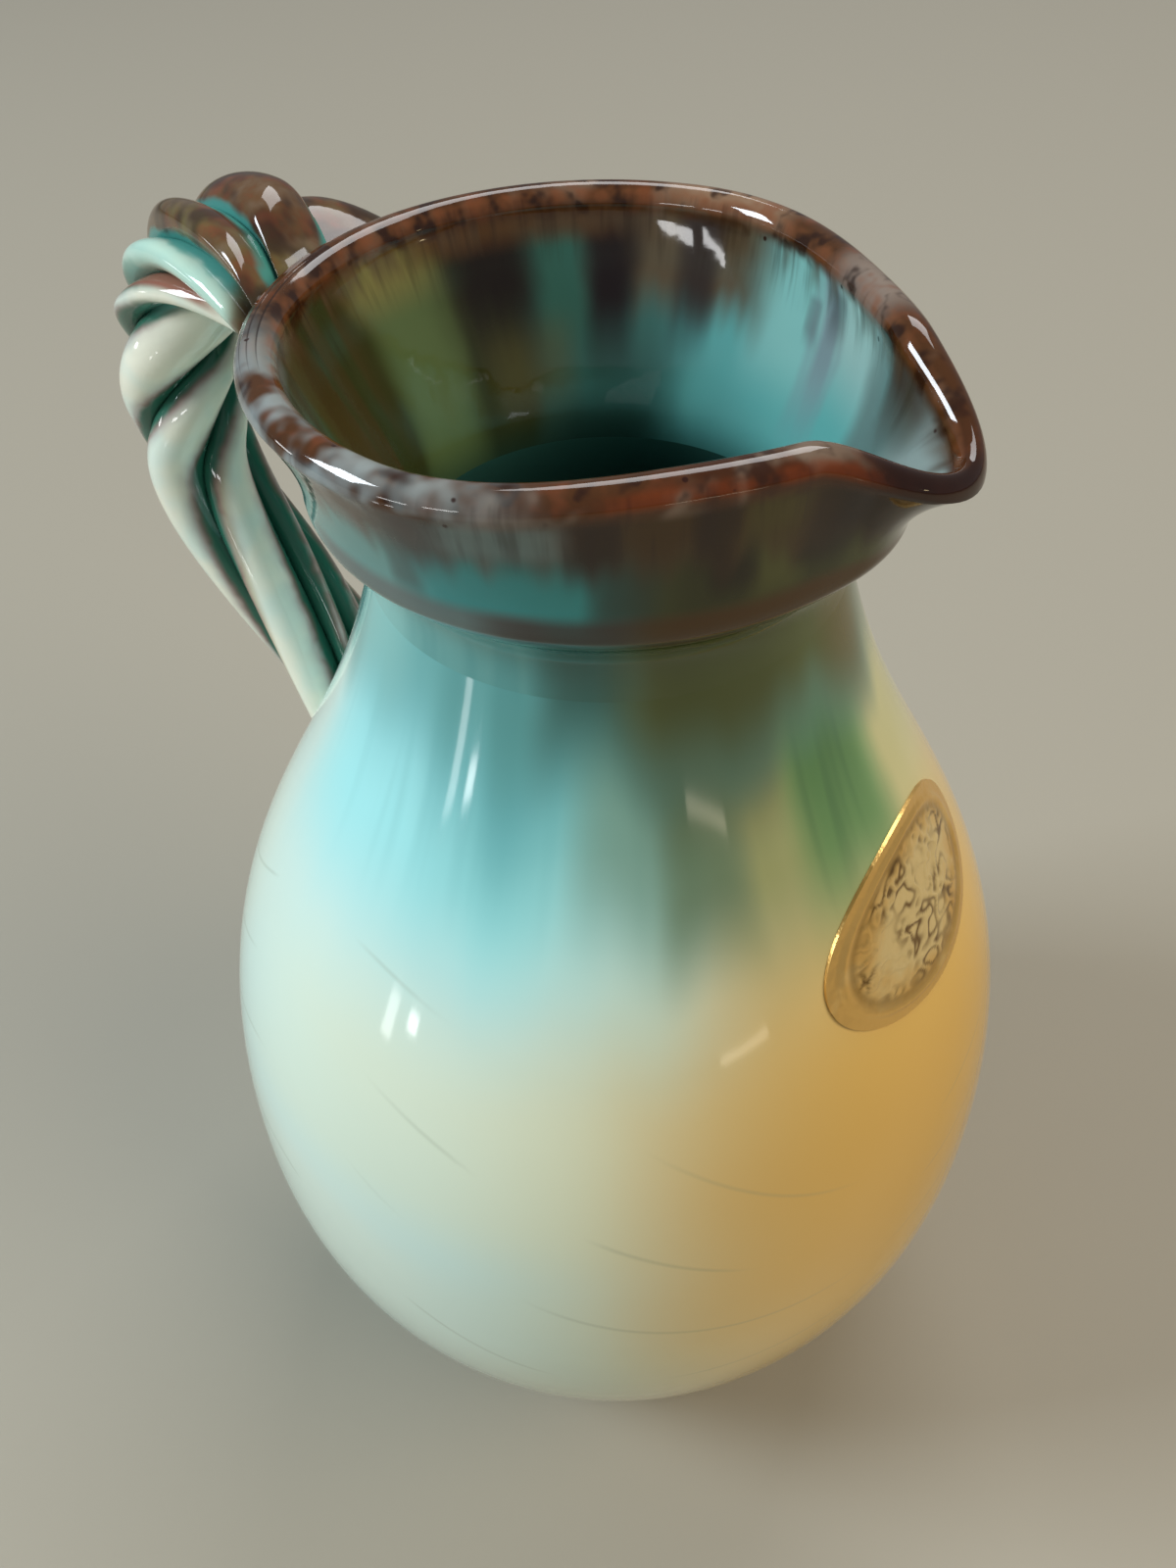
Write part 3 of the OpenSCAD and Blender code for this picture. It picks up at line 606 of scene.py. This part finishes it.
handleTop = Vector((-backRadius(rimHeight - rope["topDrop"]), rimHeight - rope["topDrop"]))
handleSide = Vector((-collarShape["rimRadius"] - rope["reach"], rimHeight - rope["reachDrop"]))
handleLow = Vector((-backRadius(seamHeight - rope["lowDrop"]), seamHeight - rope["lowDrop"]))
topSpan = Vector((handleSide[0] - handleTop[0], handleTop[1] - handleSide[1]))
lowSpan = Vector((handleLow[0] - handleSide[0], handleSide[1] - handleLow[1]))
crown = [
    handleTop,
    handleTop + Vector((rope["rootPull"][0] * topSpan[0], rope["rootPull"][1] * topSpan[1])),
    handleSide + Vector((0, rope["crownPull"] * topSpan[1])),
    handleSide,
]
foot = [
    handleSide,
    handleSide - Vector((0, rope["sidePull"] * lowSpan[1])),
    handleLow + Vector((-rope["footPull"][0] * lowSpan[0], rope["footPull"][1] * lowSpan[1])),
    handleLow,
]


def curveAt(t):
    return bezier(crown, t) if t < 1 else bezier(foot, t - 1)


lengthRows = [(0, 0)]  # length along the handle, and the place on its two curves from 0 to 2
for i in range(rope["lengthSteps"]):
    here, there = 2 * i / rope["lengthSteps"], 2 * (i + 1) / rope["lengthSteps"]
    lengthRows.append((lengthRows[-1][0] + (curveAt(there) - curveAt(here)).length, there))
handleLength = lengthRows[-1][0]


def spine(share):
    t = lookUp(lengthRows, share * handleLength)
    return curveAt(t), bezierSlope(crown, t) if t < 1 else bezierSlope(foot, t - 1)


def crestRadius(u):  # from groove to groove, round at the crest and softly filled at the bottom
    edge = 1 - abs(u)
    edge = edge ** 2 / (edge + rope["valley"]) * (1 + rope["valley"])
    return grooveRadius + rope["grooveDepth"] * math.sin(math.pi / 2 * clamp(edge)) ** rope["crestPower"]


def twistAt(share):  # part of the twist is even, the rest is gathered where the handle bends most
    first, last = rope["gather"]
    u = clamp((share - first) / (last - first))
    taken = rope["evenTwist"] * share + (1 - rope["evenTwist"]) * u * u * (3 - 2 * u)
    return rope["startTurn"] + 360 * rope["turns"] * taken


def ropePoint(share, angle, radius):
    middle, along = spine(share)
    turn = math.radians(angle + twistAt(share))
    wide = (1 + rope["rootWide"] * swell(share / rope["spread"])
            + rope["footWide"] * swell((1 - share) / rope["spread"]))
    sideways = rope["aside"] * swell(share / rope["asideLength"]) + wide * radius * math.sin(turn)
    out = (1 - rope["rootFlat"] * swell(share / rope["flatLength"])) * radius * math.cos(turn)
    return Vector((middle[0] + out * along[1], sideways, middle[1] - out * along[0]))


def seatSlide(share, angle, radius):  # how far an end point slides along the handle to lie in the wall
    along = spine(share)[1]
    direction = Vector((along[0], 0, along[1])) * (1 if share < 0.5 else -1)
    start = ropePoint(share, angle, radius)
    near, far = -rope["width"], rope["width"]
    for halving in range(rope["seatHalvings"]):
        middle = (near + far) / 2
        point = start + middle * direction
        outside = math.hypot(point.x, point.y) > backRadius(point.z) - rope["sink"]
        near, far = (near, middle) if outside else (middle, far)
    return middle * (1 if share < 0.5 else -1)


def coilSpans(share):
    return [360 * (top + (low - top) * share) for top, low in zip(rope["topShares"], rope["lowShares"])]


def coilAngle(number, share, u):  # place across a coil, from groove to groove, as an angle round the handle
    spans = coilSpans(share)
    half = spans[number - 1] / 2
    return sum(spans[:number - 1]) + half + u * (half + rope["overlap"])


core = ropeRadius * rope["core"]
flankRadii = [core + (grooveRadius - core) * i / rope["flankSteps"] for i in range(rope["flankSteps"])]
crestPlaces = [2 * i / rope["crestSteps"] - 1 for i in range(rope["crestSteps"] + 1)]
coilSection = ([(-1, radius) for radius in flankRadii] + [(u, crestRadius(u)) for u in crestPlaces]
               + [(1, radius) for radius in reversed(flankRadii)])


def makeCoil(number):
    bpy.ops.object.select_all(action="DESELECT")
    columns, rows = rope["alongSteps"] + 1, len(coilSection) + 1
    bpy.ops.mesh.primitive_grid_add(x_subdivisions=columns - 1, y_subdivisions=rows - 1, size=1)
    coil = bpy.context.object
    coil.name = coil.data.name = "handleCoil%d" % number
    topSlides = [seatSlide(0, coilAngle(number, 0, u), radius) for u, radius in coilSection]
    lowSlides = [seatSlide(1, coilAngle(number, 1, u), radius) for u, radius in coilSection]
    blendLength = rope["seatBlend"] * rope["width"] / handleLength
    along, across, edge, brown = [], [], [], []
    for vertex in coil.data.vertices:
        share = clamp(vertex.co.x + 0.5)
        row = round((vertex.co.y + 0.5) * (rows - 1)) % len(coilSection)
        u, radius = coilSection[row]
        angle = coilAngle(number, share, u)
        slope = spine(share)[1]
        slide = (topSlides[row] * clamp(1 - share / blendLength)
                 + lowSlides[row] * clamp(1 - (1 - share) / blendLength))
        vertex.co = (ropePoint(share, angle, radius) + slide * Vector((slope[0], 0, slope[1]))) * mm
        along.append(share)
        across.append(u)
        edge.append((1 - abs(u)) * math.radians(coilSpans(share)[number - 1] / 2) * ropeRadius)
        brown.append(share / rope["brownReach"][number - 1])
    paintAttribute(coil, "along", along)
    paintAttribute(coil, "across", across)
    paintAttribute(coil, "edge", edge)
    paintAttribute(coil, "brown", brown)
    paintAttribute(coil, "coil", [number] * len(along))
    closeMesh(coil)
    bpy.ops.object.mode_set(mode="EDIT")
    bpy.ops.mesh.select_all(action="DESELECT")
    bpy.ops.mesh.select_non_manifold()
    bpy.ops.mesh.edge_face_add()
    bpy.ops.mesh.select_all(action="SELECT")
    bpy.ops.mesh.normals_make_consistent(inside=False)
    bpy.ops.object.mode_set(mode="OBJECT")
    bpy.ops.object.shade_smooth_by_angle(angle=smoothAngle)
    return coil


# Glaze on the rope: brown and olive near the rim with turquoise in its grooves, mint cream on the crests
# below, and dark green with oxblood edges where it pools, with mauve painted shade beside the lower grooves.
# "edge" is the distance from the nearest groove in mm, "across" runs from -1 at one groove to 1 at the other,
# "brown" is 1 where the brown ends
ropeGlaze = {
    "name": "faienceGlazeOnRope", "ground": "#DCEBDD",
    "attributes": ["along", "across", "edge", "brown", "coil"],
    "sway": 0.0, "swaySize": 10,
    "patches": {"cloud": ("place", (7, 7, 7), 2.0), "mottle": ("place", (3.2, 3.2, 3.2), 3.0),
                "blots": ("place", (4.2, 4.2, 4.2), 2.0)},
    "wander": {"wornEdge": ("edge", "blots", 0.8), "brownEnd": ("brown", "cloud", 0.4)},
    "dots": {"pits": (8, 0.45, 0.14)},
    "waveSize": 3, "waveDepth": 0.05, "roughness": 0.06, "ior": 1.52,
    "coats": [
        ("#F0EFDA", 0.9, ("cloud", 0.36, 0.6)),
        # lower grooves: olive on one flank, mauve painted shade beside them, oxblood edges and dark green where
        # glaze pools
        ("#BDB478", 0.7, ("edge", 3.6, 1.8), ("across", 0.1, 0.5), ("along", 0.5, 0.62)),
        ("#8F8283", 0.65, ("wornEdge", 3.6, 1.4), ("along", 0.28, 0.4)),
        ("#74443D", 0.85, ("wornEdge", 2.5, 1.2), ("along", 0.26, 0.36), ("blots", 0.34, 0.52)),
        ("#2B6553", 1.0, ("wornEdge", 1.9, 0.9), ("along", 0.2, 0.32)),
        ("#143A2E", 0.6, ("edge", 0.5, 0.0), ("along", 0.2, 0.32)),
        # turquoise on the third coil and in the upper grooves, an iron edge on the second
        ("#A5DACB", 0.7, ("coil", 2.4, 2.6), ("coil", 3.6, 3.4), ("along", 0.36, 0.24)),
        ("#55AEA4", 0.9, ("wornEdge", 1.0, 0.4), ("along", 0.34, 0.24)),
        ("#96503A", 0.9, ("coil", 2.6, 2.4), ("coil", 1.4, 1.6), ("across", 0.3, 0.6), ("along", 0.14, 0.2),
         ("along", 0.42, 0.34)),
        # brown near the rim
        ("#60452B", 1.0, ("brownEnd", 1.2, 0.85)),
        ("#6B653C", 0.75, ("brownEnd", 1.25, 0.9), ("cloud", 0.42, 0.62)),
        ("#766758", 0.5, ("brownEnd", 1.1, 0.8), ("mottle", 0.44, 0.68)),
        ("#7A3F2B", 0.55, ("brownEnd", 1.2, 0.9), ("mottle", 0.52, 0.34)),
        ("#2E1E1A", 0.8, ("brownEnd", 1.1, 0.8), ("blots", 0.44, 0.66)),
        ("#44918A", 0.95, ("wornEdge", 0.9, 0.3), ("brownEnd", 1.4, 1.0), ("coil", 3.4, 3.6)),
        ("#16201B", 0.9, ("pits", 0.0, 1.0)),
    ],
}
ropeMaterial = fireGlaze(ropeGlaze)
for number in range(1, len(rope["topShares"]) + 1):
    finishPiece(makeCoil(number), ropeMaterial, "handle_glaze", "handle_coil_%d" % number)
print("handle twisted and glazed, length", round(handleLength, 1), "mm")


# Label: an oval of embossed foil pressed on the shoulder
label = {
    "length": 27.5, "width": 15.5, "thickness": 0.3, "gap": 0.02, "drop": 27, "turn": -3, "lean": 5,
    "rings": 48, "spokes": 200, "bead": 0.22, "beadPlace": 0.86, "beadWidth": 0.06,
    "scroll": 0.14, "scrollSize": (2.6, 1.7), "scrollWidth": 0.2, "fieldEdge": 0.78, "smoothAngle": 40,
    # dark lines beside the scrolls, fainter where the field is rubbed
    "trenchDark": 0.45, "lineAway": 1.5, "lineWidth": 1.1, "rubSize": (4, 3),
}


def labelPoint(along, across, lift):
    lean = math.radians(label["lean"])
    middle = seamHeight - label["drop"]
    half = label["width"] / 2
    slope = (lookUp(bellyRows, middle + half) - lookUp(bellyRows, middle - half)) / label["width"]
    z = middle + (along * math.sin(lean) + across * math.cos(lean)) / math.hypot(1, slope)
    level = along * math.cos(lean) - across * math.sin(lean)
    angle = math.radians(label["turn"]) + level / lookUp(bellyRows, middle)
    radius = lookUp(bellyRows, z) + label["gap"] + lift
    return Vector((radius * math.cos(angle), radius * math.sin(angle), z)) * mm


def labelRelief(share, along, across):  # how high and how dark: a bead in the border, scrolls in the field
    bead = swell((share - label["beadPlace"]) / label["beadWidth"])
    trench = swell((share - label["fieldEdge"]) / label["beadWidth"])
    field = clamp((label["fieldEdge"] - share) / label["beadWidth"])
    size, rubSize = label["scrollSize"], label["rubSize"]
    scroll = noise.fractal(Vector((along / size[0], across / size[1], 3.7)), 1.0, 2.0, 2)
    curl = abs(scroll) / label["scrollWidth"]
    lift = label["bead"] * bead + field * label["scroll"] * swell(curl)
    rubbed = clamp(0.5 + 2 * noise.noise(Vector((along / rubSize[0], across / rubSize[1], 8.2))))
    line = swell((curl - label["lineAway"]) / label["lineWidth"])
    return lift, clamp(label["trenchDark"] * trench + field * rubbed * line)


bpy.ops.object.select_all(action="DESELECT")
bpy.ops.mesh.primitive_circle_add(vertices=label["spokes"], radius=1, fill_type="NGON")
foil = bpy.context.object
foil.name = foil.data.name = "foilLabel"
bpy.ops.object.mode_set(mode="EDIT")
bpy.ops.mesh.select_all(action="SELECT")
for ring in range(label["rings"] - 1):  # rings of faces from the border to the middle
    bpy.ops.mesh.inset(thickness=1 / label["rings"], use_even_offset=False)
bpy.ops.mesh.poke()
bpy.ops.mesh.select_all(action="SELECT")
bpy.ops.mesh.remove_doubles(threshold=0.0001)
bpy.ops.mesh.extrude_region_move(TRANSFORM_OT_translate={"value": (0, 0, 1)})
bpy.ops.object.mode_set(mode="OBJECT")
darkness, middleShare = [], []
for vertex in foil.data.vertices:
    share = math.hypot(vertex.co.x, vertex.co.y)
    along = vertex.co.x * label["length"] / 2
    across = vertex.co.y * label["width"] / 2
    lift, dark = labelRelief(share, along, across) if vertex.co.z > 0.5 else (-label["thickness"], 0.0)
    darkness.append(dark)
    middleShare.append(1 - share)
    vertex.co = labelPoint(along, across, label["thickness"] + lift)
paintAttribute(foil, "recess", darkness)
paintAttribute(foil, "field", middleShare)
closeMesh(foil)
bpy.ops.object.shade_smooth_by_angle(angle=math.radians(label["smoothAngle"]))
print("label pressed on:", len(foil.data.polygons), "faces")

# Gold foil on paper: a thin crinkled metal face, gold round the border, rubbed in the field until the beige
# paper shows, brown in the recesses
foilFinish = {
    "gold": "#EDC070", "worn": "#DCC48A", "tarnish": "#6B4E24", "wearSize": 4, "wornFrom": 0.66, "wornTo": 1.06,
    "metalOnBorder": 0.75, "metalOnWorn": 0.4, "roughness": 0.3,
    "crinkleSize": 0.9, "crinkleDepth": 0.12, "crinkleStrength": 0.6,
}
foilMaterial, foilTree = startMaterial("goldFoilPaper")
foilPlace = addNode(foilTree, "TexCoord").outputs["Object"]
wear = addNode(foilTree, "TexNoise", {"Vector": foilPlace, "Scale": 1 / (foilFinish["wearSize"] * mm),
                                      "Detail": 3.0})
inField = addNode(foilTree, "Attribute", attribute_name="field").outputs["Fac"]
recess = addNode(foilTree, "Attribute", attribute_name="recess").outputs["Fac"]
wornEdge = addNode(foilTree, "Math", {0: wear.outputs["Fac"], 1: inField}, operation="ADD").outputs[0]
wornShare = addNode(foilTree, "MapRange", {"Value": wornEdge, "From Min": foilFinish["wornFrom"],
                                           "From Max": foilFinish["wornTo"]})
metal = addNode(foilTree, "Mix", {0: wornShare.outputs[0], 6: hexColour(foilFinish["gold"]),
                                  7: hexColour(foilFinish["worn"])}, data_type="RGBA")
metal = addNode(foilTree, "Mix", {0: recess, 6: metal.outputs[2], 7: hexColour(foilFinish["tarnish"])},
                data_type="RGBA")
foilLeft = addNode(foilTree, "MapRange", {"Value": wornShare.outputs[0], "To Min": foilFinish["metalOnBorder"],
                                          "To Max": foilFinish["metalOnWorn"]})
crinkle = addNode(foilTree, "TexNoise", {"Vector": foilPlace, "Scale": 1 / (foilFinish["crinkleSize"] * mm),
                                         "Detail": 2.0})
crinkled = addNode(foilTree, "Bump", {"Height": crinkle.outputs["Fac"], "Strength": foilFinish["crinkleStrength"],
                                      "Distance": foilFinish["crinkleDepth"] * mm})
foilShader = addNode(foilTree, "BsdfPrincipled", {
    "Base Color": metal.outputs[2], "Metallic": foilLeft.outputs[0], "Roughness": foilFinish["roughness"],
    "Normal": crinkled.outputs[0]})
addNode(foilTree, "OutputMaterial", {"Surface": foilShader.outputs[0]})
finishPiece(foil, foilMaterial, "label_foil", "foil_label")


# Floor and studio light
stage = {"floorSize": 6, "floorColour": "#9C988B", "floorRough": 0.6, "sky": "#EEF2F4", "skyStrength": 0.22}
bpy.ops.object.select_all(action="DESELECT")
bpy.ops.mesh.primitive_plane_add(size=stage["floorSize"])
floor = bpy.context.object
floor.name = "floor"
floorMaterial, floorTree = startMaterial("paleMattTable")
floorShader = addNode(floorTree, "BsdfPrincipled", {"Base Color": hexColour(stage["floorColour"]),
                                                    "Roughness": stage["floorRough"]})
addNode(floorTree, "OutputMaterial", {"Surface": floorShader.outputs[0]})
floor.data.materials.append(floorMaterial)

world = bpy.data.worlds.new("studio")
bpy.context.scene.world = world
world.use_nodes = True
world.node_tree.nodes.clear()
sky = addNode(world.node_tree, "Background", {"Color": hexColour(stage["sky"]),
                                              "Strength": stage["skyStrength"]})
addNode(world.node_tree, "OutputWorld", {"Surface": sky.outputs[0]})

# Soft boxes, and small panes that only give the glaze its window highlights: direction round the jug in
# degrees, distance from its axis, height, height aimed at, size in mm, watts, colour
softBoxes = {
    "overhead": (100, 1000, 1300, 60, (900, 700), 9, "#FFFFFF"),
    "leftWindow": (-148, 1030, 760, 60, (400, 460), 12.5, "#EEF7FF"),
    "warmRoom": (8, 900, 850, 60, (900, 700), 9.5, "#FFEFD8"),
    "lowPane": (-114.3, 300, 50, 95, (15, 10), 0.0057, "#FFFFFF"),
    "sidePane": (-121, 300, 40, 80, (16, 26), 0.0065, "#FFFFFF"),
    "warmPane": (-27.7, 300, 67, 95, (70, 5), 0.0045, "#FFEFD2"),
    "highLeft": (-93, 500, 215, 120, (120, 26), 0.1, "#FFFFFF"),
    "highRight": (-113, 500, 190, 120, (120, 26), 0.1, "#FFFFFF"),
    "backPane": (-162, 500, 127, 121, (70, 30), 0.053, "#FFFFFF"),
    "spark": (8, 500, 160, 122, (22, 6), 0.0083, "#FFE6B0"),
}
for name, (side, away, height, aim, size, watts, colour) in softBoxes.items():
    lampData = bpy.data.lights.new(name, "AREA")
    lampData.shape = "RECTANGLE"
    lampData.size, lampData.size_y = (length * mm for length in size)
    lampData.energy = watts
    lampData.color = hexColour(colour)[:3]
    lamp = bpy.data.objects.new(name, lampData)
    bpy.context.scene.collection.objects.link(lamp)
    turn = math.radians(side)
    lamp.location = Vector((away * math.cos(turn), away * math.sin(turn), height)) * mm
    lamp.rotation_euler = (lamp.location - Vector((0, 0, aim)) * mm).to_track_quat("Z", "Y").to_euler()
    lamp.visible_camera = False
    lamp.visible_glossy = name != "warmRoom"  # a fill that lights the jug without a reflection in its throat
print("stage lit")
